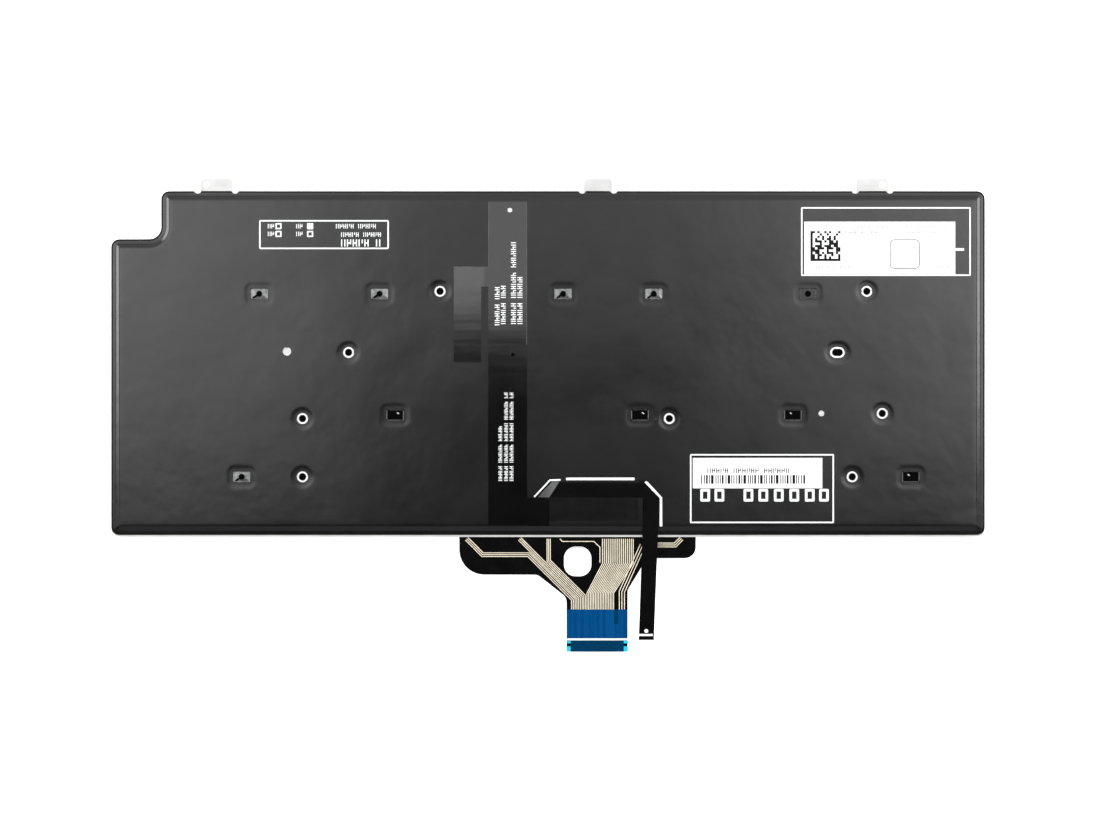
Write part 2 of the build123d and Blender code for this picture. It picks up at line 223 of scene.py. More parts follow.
def makePlateBright():
    material = newMaterial("plateBright", (0.57, 0.57, 0.56), 0.5, 1.0)
    streak = grain(material, 1.2 * mm, 3, (0.08, 1, 1))
    rough(material, streak, 0.46, 0.58)
    tinted(material, grain(material, 6 * mm), (0.52, 0.52, 0.51), (0.62, 0.62, 0.61))
    bumped(material, streak, 0.004 * mm, 0.3)
    return material


def makeStripGloss():
    material = newMaterial("stripGloss", (0.001, 0.001, 0.001), 0.13)
    crease = grain(material, 4 * mm, 2, (0.15, 1, 1))
    rough(material, grain(material, 14 * mm), 0.07, 0.1)
    # painted shade: the crease valleys are tinted a little darker than the ridges
    tinted(material, crease, (0.0008, 0.0008, 0.0008), (0.0016, 0.0016, 0.0016))
    bumped(material, crease, 0.05 * mm, 0.2)
    tree = material.node_tree
    coords = tree.nodes.new("ShaderNodeTexCoord")
    parts = tree.nodes.new("ShaderNodeSeparateXYZ")
    tree.links.new(coords.outputs["Object"], parts.inputs["Vector"])
    wave = tree.nodes.new("ShaderNodeMath")  # painted sheen: the wing reflects more strongly towards its top and less towards its end, along a wavy creased border
    wave.operation = "ADD"
    tree.links.new(parts.outputs["Y"], wave.inputs[0])
    tree.links.new(ranged(material, crease, -3.5 * mm, 3.5 * mm), wave.inputs[1])
    wing = ranged(material, wave.outputs[0], 0.85, 1.33, boardY + 13 * mm, boardY + 25 * mm)
    # painted sheen: on the wing only, left of the strip, the reflection strength follows the ramp above
    paintedSheen = tree.nodes.new("ShaderNodeMix")
    paintedSheen.inputs["B"].default_value = 1
    tree.links.new(ranged(material, parts.outputs["X"], 0, 1, -20.2 * mm, -19.4 * mm), paintedSheen.inputs["Factor"])
    tree.links.new(wing, paintedSheen.inputs["A"])
    tree.links.new(paintedSheen.outputs["Result"], tree.nodes["Principled BSDF"].inputs["Specular IOR Level"])
    return material


def makeSheetBlack():
    material = newMaterial("sheetBlack", (0.002, 0.002, 0.002), 0.4)
    rough(material, grain(material, 6 * mm), 0.36, 0.46)
    tinted(material, grain(material, 3 * mm), (0.0015, 0.0015, 0.0015), (0.003, 0.003, 0.003))
    material.node_tree.nodes["Principled BSDF"].inputs["Specular IOR Level"].default_value = 0.02
    return material


def makeTraceSilver():
    material = newMaterial("traceSilver", (0.78, 0.71, 0.55), 0.45, 0.1)
    tinted(material, grain(material, 2.5 * mm), (0.68, 0.61, 0.46), (0.86, 0.79, 0.64))
    rough(material, grain(material, 0.8 * mm), 0.35, 0.5)
    return material


def makeStiffenerBlue():
    material = newMaterial("stiffenerBlue", (0.0, 0.048, 0.165), 0.28)
    lines = grain(material, 0.9 * mm, 1, (1, 0.01, 0.01))
    tinted(material, lines, (0.0, 0.043, 0.15), (0.0, 0.058, 0.185), 0.42, 0.6)
    rough(material, grain(material, 5 * mm), 0.24, 0.34)
    material.node_tree.nodes["Principled BSDF"].inputs["Specular IOR Level"].default_value = 0.05
    return material


def makePlain(name, colour, roughness, change, size, metallic=0.0, sheen=0.5):
    material = newMaterial(name, colour, roughness, metallic)
    material.node_tree.nodes["Principled BSDF"].inputs["Specular IOR Level"].default_value = sheen
    dark = tuple(c * (1 - change) for c in colour)
    light = tuple(min(1.0, c * (1 + change)) for c in colour)
    tinted(material, grain(material, size), dark, light)
    rough(material, grain(material, size * 0.6), roughness * 0.88, roughness * 1.12)
    return material


def makeFlapHighlight():
    material = newMaterial("flapGrey", (0.05, 0.05, 0.05), 0.3)
    tree = material.node_tree
    coords = tree.nodes.new("ShaderNodeTexCoord")
    parts = tree.nodes.new("ShaderNodeSeparateXYZ")
    tree.links.new(coords.outputs["Object"], parts.inputs["Vector"])
    # painted highlight: the flap is tinted lighter towards +X, standing in for the light its fold catches
    tinted(material, parts.outputs["X"], (0.012, 0.012, 0.012), (0.1, 0.1, 0.1), -4 * mm, 2 * mm)
    rough(material, grain(material, 2 * mm), 0.25, 0.35)
    return material


def makeCapBlack():
    material = newMaterial("capBlack", (0.014, 0.014, 0.015), 0.5)
    speck = grain(material, 0.25 * mm, 3)
    tinted(material, grain(material, 4 * mm), (0.011, 0.011, 0.012), (0.018, 0.018, 0.019))
    rough(material, speck, 0.44, 0.58)
    bumped(material, speck, 0.01 * mm, 0.35)
    return material


filmBlack = makeFilmBlack()
plateBright = makePlateBright()
stripGloss = makeStripGloss()
sheetBlack = makeSheetBlack()
traceSilver = makeTraceSilver()
stiffenerBlue = makeStiffenerBlue()
capBlack = makeCapBlack()
inkWhite = makePlain("inkWhite", (0.86, 0.87, 0.87), 0.45, 0.05, 1.5 * mm)
inkBlack = makePlain("inkBlack", (0.006, 0.006, 0.006), 0.5, 0.25, 0.8 * mm, sheen=0.1)
inkFaint = makePlain("inkFaint", (0.33, 0.34, 0.35), 0.5, 0.15, 0.8 * mm)
labelWhite = makePlain("labelWhite", (0.925, 0.925, 0.92), 0.42, 0.02, 7 * mm)
guideMilky = makePlain("guideMilky", (0.86, 0.87, 0.86), 0.3, 0.03, 6 * mm)
lampAmber = makePlain("lampAmber", (0.85, 0.78, 0.42), 0.35, 0.08, 1 * mm)
tapeBlack = makePlain("tapeBlack", (0.003, 0.003, 0.003), 0.14, 0.2, 5 * mm, sheen=0.6)
siliconeMilky = makePlain("siliconeMilky", (0.72, 0.73, 0.71), 0.5, 0.05, 2 * mm)
wireSteel = makePlain("wireSteel", (0.68, 0.68, 0.67), 0.3, 0.08, 2 * mm, 1.0)
bandTeal = makePlain("bandTeal", (0.0, 0.03, 0.08), 0.3, 0.15, 1.2 * mm, sheen=0.04)
earCyan = makePlain("earCyan", (0.02, 0.45, 0.68), 0.3, 0.12, 2 * mm, sheen=0.2)
filmEdge = makePlain("filmEdge", (0.004, 0.004, 0.004), 0.5, 0.2, 3 * mm, sheen=0.1)
flapGrey = makeFlapHighlight()
pressingGrey = makePlain("pressingGrey", (0.2, 0.205, 0.205), 0.36, 0.4, 1.3 * mm, 1.0)
ringBright = makePlain("ringBright", (0.85, 0.85, 0.84), 0.4, 0.08, 1 * mm, 1.0)
edgeGrey = makePlain("edgeGrey", (0.06, 0.06, 0.06), 0.4, 0.5, 6 * mm)
holeBlack = makePlain("holeBlack", (0.001, 0.001, 0.001), 0.6, 0.2, 1 * mm, sheen=0.02)
print("materials made")

nodeFinish = {
    "base_plate": plateBright, "light_strip": stripGloss, "switch_sheet": sheetBlack,
    "tail_stiffener": stiffenerBlue, "blank_labels": labelWhite, "light_guide": guideMilky,
    "lamps": lampAmber, "fixing_tape": tapeBlack, "stabiliser_wires": wireSteel, "space_bar_wire": wireSteel,
}
for node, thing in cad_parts.items():
    thing.data.materials.clear()
    thing.data.materials.append(nodeFinish.get(node, capBlack))
print("solids dressed")

# Back film, drawn down to the plate at its rim, holes and windows
film = {
    "corner": 2.5, "notchRadius": 3.7, "notch": (15.52, 14.9), "thickness": 0.14, "segments": 8,
    "edgeDrop": 0.408, "holeDepth": 0.1, "slack": 0.0002, "leastCorner": 0.6,
    "rim": [(0, 0.46), (0.5, 0.41), (1.2, 0.385), (1.45, 0.36), (1.7, 0.3), (2.0, 0.2), (2.3, 0.1),
            (2.55, 0.04), (2.9, 0.012), (3.6, 0.004), (4.2, 0.0015), (4.5, 0.0005), (4.8, 0)],  # in and down
    "slope": [(-0.4, 0), (-0.2, 0.0005), (0, 0.003), (0.15, 0.016), (0.3, 0.04), (0.45, 0.064),
              (0.6, 0.077), (0.75, 0.08), (0.93, 0.085), (1, 0.4)],  # share of the way to the foot, and down
    "screws": [(-33.465, 22.55), (98.806, 22.55), (-76.1, -34.95), (94.293, -34.95), (-61.8, 3.6),
               (-76.1, -16.9), (37.6, -16.9), (103.61, -15.3)],
    "screw": ((7.4, 7.4, 3.69), (3.4, 3.4, 1.69)),  # mouth and foot: length, width, corner
    "slots": [(89.71, 3.6)],
    "slot": ((8.5, 7.4, 3.69), (4.5, 3.4, 1.69)),
    "windows": [(-89.49, 21.75), (-52.2, 21.75), (4.66, 21.75), (32.8, 21.75), (80.56, 21.75),
                (-47.4, -15.8), (28.5, -15.8), (75.9, -15.8), (-94.94, -34.95), (112.45, -34.95)],
    "window": ((9.6, 7.8, 2.8), (5.2, 3.2, 0.3)), "ease": {"screw": 1, "slot": 1, "window": 0.55},
    "reliefs": [-108.6, -96.9, 10.6, 20.4, 95.3, 106.0], "reliefRadius": 1.3, "reliefOut": 0.5,
    "holes": [(-80.9, 3.9, 1.3), (84.71, -15.3, 0.9), (-11.8, 47.7, 0.8)],  # place and radius
}


def hideAll():
    bpy.ops.mesh.select_all(action="SELECT")
    bpy.ops.mesh.hide()


def boardLoop(inset, level):
    left, right = filmLow.x + inset, filmHigh.x - inset
    low, high = filmLow.y + inset, filmHigh.y - inset
    stepX = filmLow.x + film["notch"][0] * mm + inset
    stepY = filmHigh.y - film["notch"][1] * mm - inset
    near = 0.01 * mm
    addPlane(((left + right) / 2, (low + high) / 2, level), (right - left, high - low))
    bpy.ops.mesh.bisect(plane_co=(stepX, 0, level), plane_no=(1, 0, 0))
    bpy.ops.mesh.select_all(action="SELECT")
    bpy.ops.mesh.bisect(plane_co=(0, stepY, level), plane_no=(0, 1, 0))
    pick("FACE", lambda f: f.calc_center_median().x < stepX and f.calc_center_median().y > stepY)
    bpy.ops.mesh.delete(type="FACE")
    bpy.ops.mesh.select_all(action="SELECT")
    bpy.ops.mesh.dissolve_faces()
    spare = [Vector((stepX, low, level)), Vector((right, stepY, level))]
    pick("VERT", lambda v: min((v.co - s).length for s in spare) < near)
    bpy.ops.mesh.dissolve_verts()
    inner = Vector((stepX, stepY, level))
    pick("VERT", lambda v: (v.co - inner).length < near)
    bpy.ops.mesh.bevel(offset=film["notchRadius"] * mm + inset, segments=film["segments"], affect="VERTICES")
    ends = [Vector(p) for p in ((left, low, level), (right, low, level), (right, high, level),
                                (stepX, high, level), (left, stepY, level))]
    pick("VERT", lambda v: min((v.co - e).length for e in ends) < near)
    rounding = max(film["corner"] * mm - inset, film["leastCorner"] * mm)
    bpy.ops.mesh.bevel(offset=rounding, segments=film["segments"], affect="VERTICES")
    bpy.ops.mesh.select_all(action="SELECT")
    outlineOnly()


def dimple(place, kind):
    mouth, foot = film[kind]
    for share, drop in film["slope"]:
        drop *= film["ease"][kind] if share < 1 else 1
        length, width, corner = [(a + (b - a) * share) * mm for a, b in zip(mouth, foot)]
        corner = min(corner, width / 2 * 0.998)
        addRounded(at(*place, backLevel - drop * mm), (length, width), corner, 7)
        outlineOnly()
    bpy.ops.mesh.select_all(action="SELECT")
    bpy.ops.mesh.bridge_edge_loops(type="SINGLE")


backLevel = filmHigh.z
plateLevel = plateHigh.z
tailLevel = sheetHigh.z
runLevel = backLevel + 0.15 * mm  # top of the light strip


def makeBackFilm():
    piece = beginPiece("backFilm")
    for inset, drop in film["rim"]:
        boardLoop(inset * mm, backLevel - drop * mm)
        hideAll()
    bpy.ops.mesh.reveal()
    bpy.ops.mesh.select_all(action="SELECT")
    bpy.ops.mesh.bridge_edge_loops(type="SINGLE")
    hideAll()
    for kind in ("screw", "slot", "window"):
        for place in film[kind + "s"]:
            dimple(place, kind)
            hideAll()
    for x, y, radius in film["holes"]:
        addDisc(at(x, y, backLevel), radius * mm)
        outlineOnly()
        addDisc(at(x, y, backLevel - film["holeDepth"] * mm), radius * mm)
        outlineOnly()
        bpy.ops.mesh.select_all(action="SELECT")
        bpy.ops.mesh.bridge_edge_loops(type="SINGLE")
        hideAll()
    bpy.ops.mesh.reveal()
    flat = backLevel - film["slack"] * mm
    pick("EDGE", lambda e: len(e.link_faces) == 1 and min(v.co.z for v in e.verts) > flat)
    bpy.ops.mesh.fill(use_beauty=True)
    bpy.ops.mesh.select_all(action="SELECT")
    bpy.ops.mesh.normals_make_consistent(inside=False)
    mesh = bmesh.from_edit_mesh(piece.data)
    if sum(f.normal.z * f.calc_area() for f in mesh.faces) < 0:
        bpy.ops.mesh.flip_normals()
    applied(piece, "SOLIDIFY", thickness=film["thickness"] * mm, offset=-1)
    cutter = beginPiece("filmCutter")
    for x in film["reliefs"]:
        addDisc((x * mm, filmHigh.y + film["reliefOut"] * mm, backLevel - mm), film["reliefRadius"] * mm, 20)
        liftUp(2 * mm)
    bpy.ops.mesh.select_all(action="SELECT")
    bpy.ops.mesh.normals_make_consistent(inside=False)
    bpy.ops.object.mode_set(mode="OBJECT")
    bpy.ops.object.select_all(action="DESELECT")
    piece.select_set(True)
    bpy.context.view_layer.objects.active = piece
    applied(piece, "BOOLEAN", object=cutter, operation="DIFFERENCE", solver="EXACT")
    bpy.data.objects.remove(cutter)
    endPiece(piece, filmBlack, smooth=35)
    # painted shade: faces in the film's outermost band get a duller, less shiny black, so the edge reads as a
    # dark outline
    piece.data.materials.append(filmEdge)
    bpy.ops.object.mode_set(mode="EDIT")
    pick("FACE", lambda f: f.calc_center_median().z < backLevel - film["edgeDrop"] * mm)
    piece.active_material_index = 1
    bpy.ops.object.material_slot_assign()
    bpy.ops.object.mode_set(mode="OBJECT")
    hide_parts("back_film")


makeBackFilm()
print("back film made")

# Keycaps, lying on their dished tops
cap = {"corner": 1.3, "segments": 4, "wall": 0.95, "roof": 0.9, "draft": 0.15,
       "side": [(0.2, 1.35), (0.1, 0.5), (0.12, 0.22), (0.22, 0.1), (0.35, 0.03)],  # in and down
       "dish": [(0.8, 0.02), (1.6, 0.05)]}


def drawIn(middle, size, inset, drop):
    bpy.ops.mesh.extrude_region_move(TRANSFORM_OT_translate={"value": (0, 0, -drop)})
    shares = ((size.x - 2 * inset) / size.x, (size.y - 2 * inset) / size.y, 1)
    bpy.ops.transform.resize(value=shares, center_override=middle)
    size.x -= 2 * inset
    size.y -= 2 * inset


def addCap(low, high):
    middle = (low + high) / 2
    size = high - low
    addRounded((middle.x, middle.y, high.z), size, cap["corner"] * mm, cap["segments"])
    pick("EDGE", lambda e: len(e.link_faces) == 1)
    around = size.copy()
    for inset, drop in cap["side"]:
        drawIn(middle, around, inset * mm, drop * mm)
    bpy.ops.mesh.edge_face_add()
    for inset, rise in cap["dish"]:
        drawIn(middle, around, inset * mm, -rise * mm)
    rim = high.z - 0.001 * mm
    pick("FACE", lambda f: f.calc_center_median().z > rim)
    drawIn(middle, size, cap["wall"] * mm, 0)
    drawIn(middle, size, cap["draft"] * mm, high.z - low.z - cap["roof"] * mm)
    bpy.ops.mesh.select_all(action="SELECT")
    bpy.ops.mesh.normals_make_consistent(inside=False)


def makeCap(name, low, high):
    piece = beginPiece(name)
    addCap(low, high)
    return piece


def copied(source, name, shift):
    twin = source.copy()
    twin.data = source.data.copy()
    twin.name = name
    twin.data.name = name
    twin.data.transform(Matrix.Translation(shift))
    bpy.context.collection.objects.link(twin)
    return twin


def camel(node):
    first, *rest = node.split("_")
    return first + "".join(word.capitalize() for word in rest)


def looseBoxes(node):
    mesh = bmesh.new()
    mesh.from_mesh(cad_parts[node].data)
    bmesh.ops.remove_doubles(mesh, verts=mesh.verts, dist=0.001 * mm)
    left = set(mesh.verts)
    boxes = []
    while left:
        reach = [left.pop()]
        found = []
        while reach:
            vert = reach.pop()
            found.append(vert.co.copy())
            for edge in vert.link_edges:
                other = edge.other_vert(vert)
                if other in left:
                    left.remove(other)
                    reach.append(other)
        low = Vector([min(c[i] for c in found) for i in range(3)])
        high = Vector([max(c[i] for c in found) for i in range(3)])
        boxes.append((low, high))
    mesh.free()
    return sorted(boxes, key=lambda b: (round(b[0].y, 4), b[0].x))


keyNodes = sorted(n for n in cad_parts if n.startswith("key_"))
modelLow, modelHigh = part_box(keyNodes[0])
modelCap = endPiece(makeCap(camel(keyNodes[0]), modelLow, modelHigh), capBlack, keyNodes[0], 40)
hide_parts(keyNodes[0])
for node in keyNodes[1:]:
    twin = copied(modelCap, camel(node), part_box(node)[0] - modelLow)
    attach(twin, node)
    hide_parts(node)
spaceCap = endPiece(makeCap("spaceBar", *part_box("space_bar")), capBlack, "space_bar", 40)
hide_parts("space_bar")
borderBoxes = looseBoxes("border_keycaps")
borderCaps = beginPiece("borderCaps")
for low, high in borderBoxes:
    addCap(low, high)
    hideAll()
bpy.ops.mesh.reveal()
endPiece(borderCaps, capBlack, smooth=40)
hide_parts("border_keycaps")
print("keycaps made:", len(keyNodes) + 1 + len(borderBoxes))

# Rubber domes and scissor links
spring = {"dome": [(0.12, 0.3), (0.6, 0.7), (0.5, 0.65), (0.1, 0.6)], "radius": 3.1, "sides": 20,
          "fork": (11.2, 10.4), "inner": 9.0, "arm": 1.0, "thick": 0.7, "corner": 1.2, "room": 0.12,
          "clear": 3.4, "keep": 0.49, "border": 1.4}
seatLevel = sheetLow.z
roofLevel = cap["roof"] * mm


def addDome(x, y, depth):
    middle = Vector((x, y, seatLevel))
    radius = min(spring["radius"] * mm, depth / 2 - spring["border"] * mm)  # smaller under the low keys
    size = Vector((2, 2, 0)) * radius
    addDisc(middle, radius, spring["sides"])
    for inset, drop in spring["dome"]:
        drawIn(middle, size, inset * mm, drop * mm)
    last = seatLevel - sum(d for i, d in spring["dome"]) * mm
    drawIn(middle, size, 0, last - roofLevel)
    hideAll()


def addFork(x, y, width, length, lean):
    middle = Vector((x, y, (seatLevel + roofLevel) / 2))
    low = middle - Vector((0, 0, spring["thick"] / 2 * mm))
    addRounded(low, (width, length), spring["corner"] * mm, 3)
    bpy.ops.mesh.inset(thickness=spring["arm"] * mm)
    bpy.ops.mesh.delete(type="FACE")
    bpy.ops.mesh.select_all(action="SELECT")
    liftUp(spring["thick"] * mm)
    bpy.ops.mesh.select_all(action="SELECT")
    bpy.ops.transform.rotate(value=lean, orient_axis="X", center_override=middle)
    hideAll()


def addSpring(x, y, depth):
    length = min(spring["fork"][1] * mm, depth - spring["clear"] * mm)
    rise = seatLevel - roofLevel - (spring["thick"] + spring["room"]) * mm
    lean = asin(rise / length)
    addDome(x, y, depth)
    addFork(x, y, spring["fork"][0] * mm, length, lean)
    addFork(x, y, spring["inner"] * mm, length, -lean)


def endSpring(piece):
    bpy.ops.mesh.reveal()
    bpy.ops.mesh.select_all(action="SELECT")
    bpy.ops.mesh.normals_make_consistent(inside=False)
    endPiece(piece, siliconeMilky, smooth=45)
    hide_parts("rubber_domes", "scissor_links")


def foldsWith(piece):
    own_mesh(piece)


modelMid = (modelLow + modelHigh) / 2
modelSpring = beginPiece(camel(keyNodes[0]) + "Spring")
addSpring(modelMid.x, modelMid.y, modelHigh.y - modelLow.y)
endSpring(modelSpring)
for node in keyNodes[1:]:
    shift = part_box(node)[0] - modelLow
    twin = copied(modelSpring, camel(node) + "Spring", shift)
    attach(twin, "board")
    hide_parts("rubber_domes", "scissor_links")
    foldsWith(twin)
foldsWith(modelSpring)
spaceLow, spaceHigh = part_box("space_bar")
spaceMid = (spaceLow + spaceHigh) / 2
spaceSpring = beginPiece("spaceBarSpring")
addSpring(spaceMid.x, spaceMid.y, spaceHigh.y - spaceLow.y)
endSpring(spaceSpring)
foldsWith(spaceSpring)
borderSprings = beginPiece("borderSprings")
for low, high in borderBoxes:
    addSpring((low.x + high.x) / 2, (low.y + high.y) / 2, high.y - low.y)
endSpring(borderSprings)
print("springs made")

# Printed lines, conductors and flat marks
def sideStep(points, distance):
    moved = []
    for i, p in enumerate(points):
        before = points[max(i - 1, 0)]
        after = points[min(i + 1, len(points) - 1)]
        inward = atan2(p[1] - before[1], p[0] - before[0]) if i else None
        outward = atan2(after[1] - p[1], after[0] - p[0]) if i < len(points) - 1 else inward
        inward = outward if inward is None else inward
        turn = (outward - inward + pi) % (2 * pi) - pi
        angle = inward + turn / 2 + pi / 2
        reach = distance / cos(turn / 2)
        moved.append((p[0] + reach * cos(angle), p[1] + reach * sin(angle)))
    return moved


def side(points, count, pitch):
    return [sideStep(points, (i - (count - 1) / 2) * pitch) for i in range(count)]


def drawLines(name, lines, width, level, thick, material):
    piece = beginPiece(name)
    for points in lines:
        bpy.ops.mesh.select_all(action="DESELECT")
        bpy.ops.mesh.primitive_plane_add(size=mm, location=at(*points[0], level))
        bpy.ops.mesh.merge(type="CENTER")
        for a, b in zip(points, points[1:]):
            step = ((b[0] - a[0]) * mm, (b[1] - a[1]) * mm, 0)
            bpy.ops.mesh.extrude_region_move(TRANSFORM_OT_translate={"value": step})
    bpy.ops.object.mode_set(mode="OBJECT")
    bpy.ops.object.convert(target="CURVE")
    curve = bpy.context.object
    curve.data.dimensions = "3D"
    curve.data.bevel_depth = width / 2 * mm
    curve.data.bevel_resolution = 0
    curve.data.use_fill_caps = True
    bpy.ops.object.convert(target="MESH")
    piece = bpy.context.object
    bpy.ops.object.mode_set(mode="EDIT")
    bpy.ops.mesh.select_all(action="SELECT")
    bpy.ops.transform.resize(value=(1, 1, thick / width), center_override=(0, 0, level))
    bpy.ops.mesh.normals_make_consistent(inside=False)
    return endPiece(piece, material)


def flatMarks(name, marks, level, material):
    piece = beginPiece(name)  # rectangles: left, low, right, high
    for left, low, right, high in marks:
        addPlane(at((left + right) / 2, (low + high) / 2, level), ((right - left) * mm, (high - low) * mm))
    applied(piece, "SOLIDIFY", thickness=inkLift, offset=1)
    return endPiece(piece, material)


def printedFrame(name, left, low, right, high, line, corner, level, ink=inkWhite):
    piece = beginPiece(name)
    centre = at((left + right) / 2, (low + high) / 2, level)
    addRounded(centre, ((right - left) * mm, (high - low) * mm), corner * mm, 3)
    bpy.ops.mesh.inset(thickness=line * mm)
    bpy.ops.mesh.delete(type="FACE")
    applied(piece, "SOLIDIFY", thickness=inkLift, offset=1)
    return endPiece(piece, ink)


tail = {
    "left": ([(-25.2, -54.2), (-20.3, -59.1), (-6.05, -59.1), (7.85, -73.0), (7.85, -76.2)], 3, 0.56),
    "second": ([(-8.8, -54.2), (9.5, -72.5), (9.5, -76.2)], 3, 0.53),
    "third": ([(0.2, -54.2), (0.2, -61.0), (11.1, -71.9), (11.1, -76.2)], 3, 0.5),
    "wing": ([(33.0, -56.1), (39.4, -56.1), (41.4, -54.1)], 3, 0.6),
    "slant": ([(29.4, -56.1), (22.9, -70.6), (22.9, -76.2)], 3, 0.8),
    "block": {"count": 17, "top": (16.9, 0.594), "foot": (12.1, 0.515),
              "levels": (-54.2, -61.8, -71.0, -76.2)},
    "middle": [(3.7, -54.2), (4.4, -55.0), (14.2, -55.0), (16.1, -56.8), (16.1, -61.6)],
    "width": 0.25, "thick": 0.05,
}
block = tail["block"]
lines = [tail["middle"]]
for group in ("left", "second", "third", "wing", "slant"):
    lines += side(*tail[group])
for i in range(block["count"]):
    top = block["top"][0] + block["top"][1] * i
    foot = block["foot"][0] + block["foot"][1] * i
    start, bend, end, last = block["levels"]
    lines.append([(top, start), (top, bend), (foot, end), (foot, last)])
drawLines("tailTraces", lines, tail["width"], tailLevel, tail["thick"], traceSilver)

fold = {"lines": [[(5.6, -35.6), (26.8, -35.6)], [(30.2, -36.4), (35.0, -41.5), (35.0, -50.3)]],
        "thin": [[(-4.25, -41.2), (0.6, -36.0), (3.9, -35.9)]], "width": 0.8, "thinWidth": 0.5, "thick": 0.06}
drawLines("foldLines", fold["lines"], fold["width"], backLevel, fold["thick"], inkWhite)
# painted highlight: a thin white line along the fold's edge, where the fold catches light
drawLines("foldThinLine", fold["thin"], fold["thinWidth"], backLevel, fold["thick"], inkWhite)


def wordMarks(left, low, right, high, pitch, upright=False):
    marks = []
    length = high - low if upright else right - left
    for i in range(int(length / pitch)):
        if i % 7 == 5:
            continue  # a space
        start = i * pitch
        stop = start + pitch * 0.74
        thin = pitch * 0.2
        strokes = [(start, start + thin, 0, 1), (stop - thin, stop, (0, 0.3, 0, 0.45)[i % 4], 1)]
        if i % 3:
            strokes.append((start + thin, stop - thin, 0.4, 0.58))  # a bar between the two
        for a, b, c, d in strokes:
            if upright:
                marks.append((left + (right - left) * c, low + a, left + (right - left) * d, low + b))
            else:
                marks.append((left + a, low + (high - low) * c, left + b, low + (high - low) * d))
    return marks


frameLine = 0.45
leftPrint = {"frame": (-89.5, 35.6, -49.3, 44.6), "corner": 0.5, "box": 1.9, "boxLine": 0.42, "boxCorner": 0.2,
             "boxes": [(-83.5, 42.7), (-73.7, 42.7), (-83.5, 40.3), (-73.7, 40.3)],
             "tick": (-74.3, 42.1, -73.1, 43.3), "starts": (-86.8, -78.0), "long": 2.2, "pitch": 1.1,
             "rows": [(42.0, 43.4), (39.6, 41.0)],
             "words": [(-65.7, 42.0, -52.0, 43.4, 1.15), (-64.1, 39.4, -50.7, 40.8, 1.15),
                       (-64.1, 36.4, -49.9, 38.6, 1.8)]}  # left, low, right, high, pitch
printedFrame("leftFrame", *leftPrint["frame"], frameLine, leftPrint["corner"], backLevel)
half = leftPrint["box"] / 2
for i, (x, y) in enumerate(leftPrint["boxes"]):
    corners = (x - half, y - half, x + half, y + half)
    printedFrame("checkBox%d" % (i + 1), *corners, leftPrint["boxLine"], leftPrint["boxCorner"], backLevel)
words = [leftPrint["tick"]]
for x in leftPrint["starts"]:
    for low, high in leftPrint["rows"]:
        words += wordMarks(x, low, x + leftPrint["long"], high, leftPrint["pitch"])
for row in leftPrint["words"]:
    words += wordMarks(*row)
flatMarks("leftWords", words, backLevel, inkWhite)

rightPrint = {"frame": (78.4, 27.3, 131.0, 48.6), "corner": 0.3, "tick": (126.3, 35.1, 128.9, 35.9),
              "words": [(95.0, 42.0, 124.0, 42.9, 1.0), (92.4, 40.2, 103.0, 41.3, 1.1),
                        (110.5, 40.4, 121.0, 41.2, 1.1), (82.0, 29.6, 94.0, 30.5, 1.0),
                        (119.5, 29.6, 124.5, 30.5, 1.0)],
              "mark": (105.9, 29.5, 115.2, 38.6), "markLine": 0.22, "markCorner": 1.4}
code = {"count": 13, "left": 81.3, "low": 31.9, "side": 9.3}
printedFrame("rightFrame", *rightPrint["frame"], frameLine, rightPrint["corner"], backLevel)
cell = code["side"] / code["count"]
marks = []
for i in range(code["count"]):
    for j in range(code["count"]):
        if i == 0 or j == 0 or (7 * i * i + 5 * j * j + 3 * i * j) % 11 < 5:  # a made-up pattern
            x = code["left"] + i * cell
            y = code["low"] + j * cell
            marks.append((x, y, x + cell, y + cell))
flatMarks("codeBlock", marks, labelHigh.z, inkBlack)
words = []
for row in rightPrint["words"]:
    words += wordMarks(*row)
flatMarks("faintWords", words, labelHigh.z, inkFaint)
flatMarks("labelTick", [rightPrint["tick"]], backLevel, inkWhite)

lowerPrint = {"frame": (44.0, -49.3, 88.6, -27.9), "corner": 0.3, "words": (49.4, -33.8, 76.0, -32.3, 1.35),
              "starts": (47.2, 51.6, 60.6, 65.2, 70.0, 74.8, 79.6, 84.0), "wide": 3.0, "low": -42.6,
              "high": -38.7, "line": 0.8, "round": 0.4}
bars = {"left": 47.4, "right": 79.3, "low": -37.1, "high": -34.4,
        "widths": (0.3, 0.3, 0.55, 0.3, 0.8, 0.3), "gaps": (0.35, 0.6, 0.35, 0.35)}
printedFrame("lowerFrame", *lowerPrint["frame"], frameLine, lowerPrint["corner"], backLevel)
marks = []
x = bars["left"]
while x < bars["right"]:
    wide = bars["widths"][len(marks) % len(bars["widths"])]
    marks.append((x, bars["low"], x + wide, bars["high"]))
    x += wide + bars["gaps"][len(marks) % len(bars["gaps"])]
flatMarks("labelBars", marks + wordMarks(*lowerPrint["words"]), labelHigh.z, inkBlack)
for i, x in enumerate(lowerPrint["starts"]):
    corners = (x, lowerPrint["low"], x + lowerPrint["wide"], lowerPrint["high"])
    printedFrame("lowerMark%d" % (i + 1), *corners, lowerPrint["line"], lowerPrint["round"], backLevel)

stripPrint = {"upper": [(-16.5, 12.0, -15.0, 25.1), (-14.6, 12.4, -13.1, 24.8),
                        (-11.5, 12.4, -9.9, 40.4), (-9.5, 12.4, -7.9, 27.6)], "upperPitch": 1.35,
              "lower": [(-15.4, -36.2, -14.2, -19.0), (-13.6, -36.2, -12.4, -8.0),
                        (-11.9, -36.2, -10.7, -8.0)], "lowerPitch": 0.95}
words = []
for part in ("upper", "lower"):
    for row in stripPrint[part]:
        words += wordMarks(*row, stripPrint[part + "Pitch"], True)
flatMarks("stripWords", words, runLevel, inkWhite)

